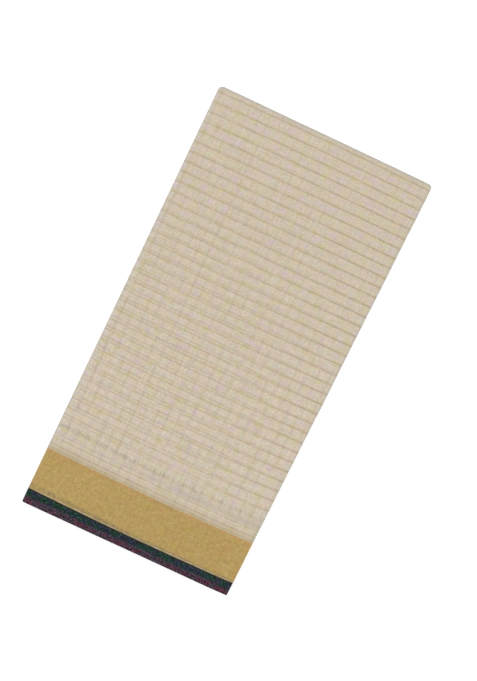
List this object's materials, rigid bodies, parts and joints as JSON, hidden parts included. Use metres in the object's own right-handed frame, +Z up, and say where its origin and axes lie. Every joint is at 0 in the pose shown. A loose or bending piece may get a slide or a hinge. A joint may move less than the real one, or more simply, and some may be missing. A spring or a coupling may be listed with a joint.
{
  "type": "folded saree",
  "caption": "Folded saree lying flat as a long packet: pale striped cloth, gold zari band, dark green and maroon selvedge, one wrapped side and layered edges.",
  "frame": {"origin": "middle of the footprint, on the surface that the packet lies on", "axes": "+Z up, +Y along the packet from the selvedges to the folded end, -X towards the wrapped side"},
  "size_m": [0.2982, 0.575, 0.0196],
  "materials": {
    "field": "soft, fine plain weave with thin dull gold stripes",
    "zari": "gold zari, low metallic sheen",
    "dark_green": "matt dark green to navy shot weave",
    "maroon": "matt maroon shot weave"
  },
  "bodies": {
    "root": {"field_top": "field", "field_side": "field", "field_under": "field", "zari_band_top": "zari", "zari_band_side": "zari", "zari_band_under": "zari", "green_band_top": "dark_green", "green_band_side": "dark_green", "green_band_under": "dark_green", "maroon_edge_top": "maroon", "maroon_edge_side": "maroon", "maroon_edge_under": "maroon", "inner_layers": "field"}
  },
  "joints": []
}
